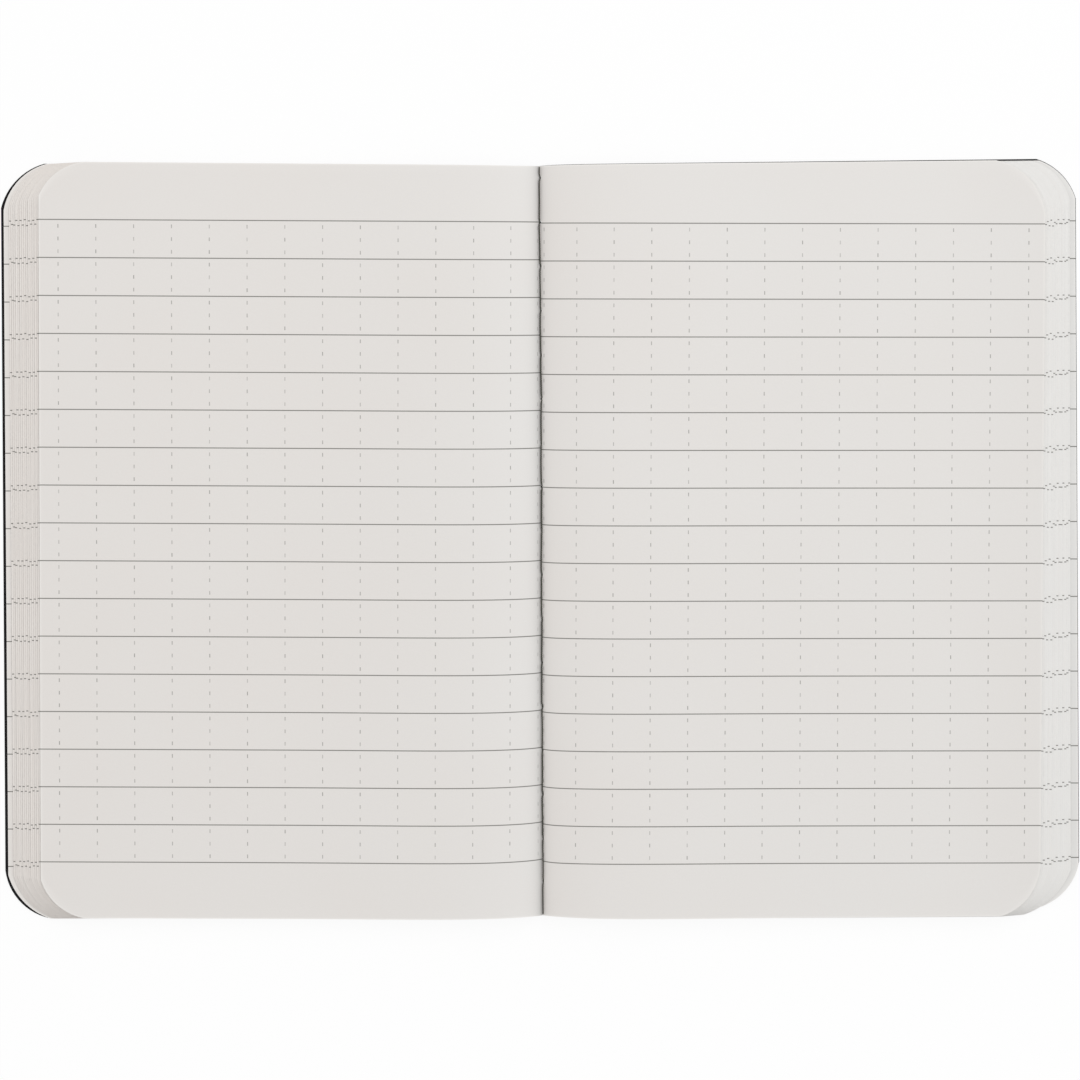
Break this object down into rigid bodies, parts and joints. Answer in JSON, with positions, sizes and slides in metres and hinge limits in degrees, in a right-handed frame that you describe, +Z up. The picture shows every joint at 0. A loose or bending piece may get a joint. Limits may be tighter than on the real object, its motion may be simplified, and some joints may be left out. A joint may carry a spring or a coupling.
{
  "type": "open pocket notebook",
  "caption": "Soft-cover pocket notebook lying open at its middle spread, ruled leaves sewn through the fold, rounded corners, stepped fore-edges; the front half closes over the back.",
  "frame": {"origin": "on the table, under the middle of the fold of the open book", "axes": "+Z up from the table, +X across the spread towards the back half's fore-edge, +Y along the fold towards the head of the page"},
  "size_m": [0.1816, 0.1277, 0.0043],
  "materials": {
    "cover_card": "matte black card with a fine grain",
    "paper": "uncoated off-white paper with grey ruled lines and dashed columns",
    "thread": "twisted dark thread"
  },
  "bodies": {
    "front_half": {"front_cover": "cover_card", "front_leaves": "paper"},
    "back_half": {"back_cover": "cover_card", "back_leaves": "paper", "sewing_thread": "thread"}
  },
  "joints": [
    {"name": "spine_fold", "type": "hinge", "parent": "back_half", "child": "front_half", "pos_m": [0, 0, 0.0044], "axis": [0, 1, 0], "range_deg": [0, 179]}
  ]
}
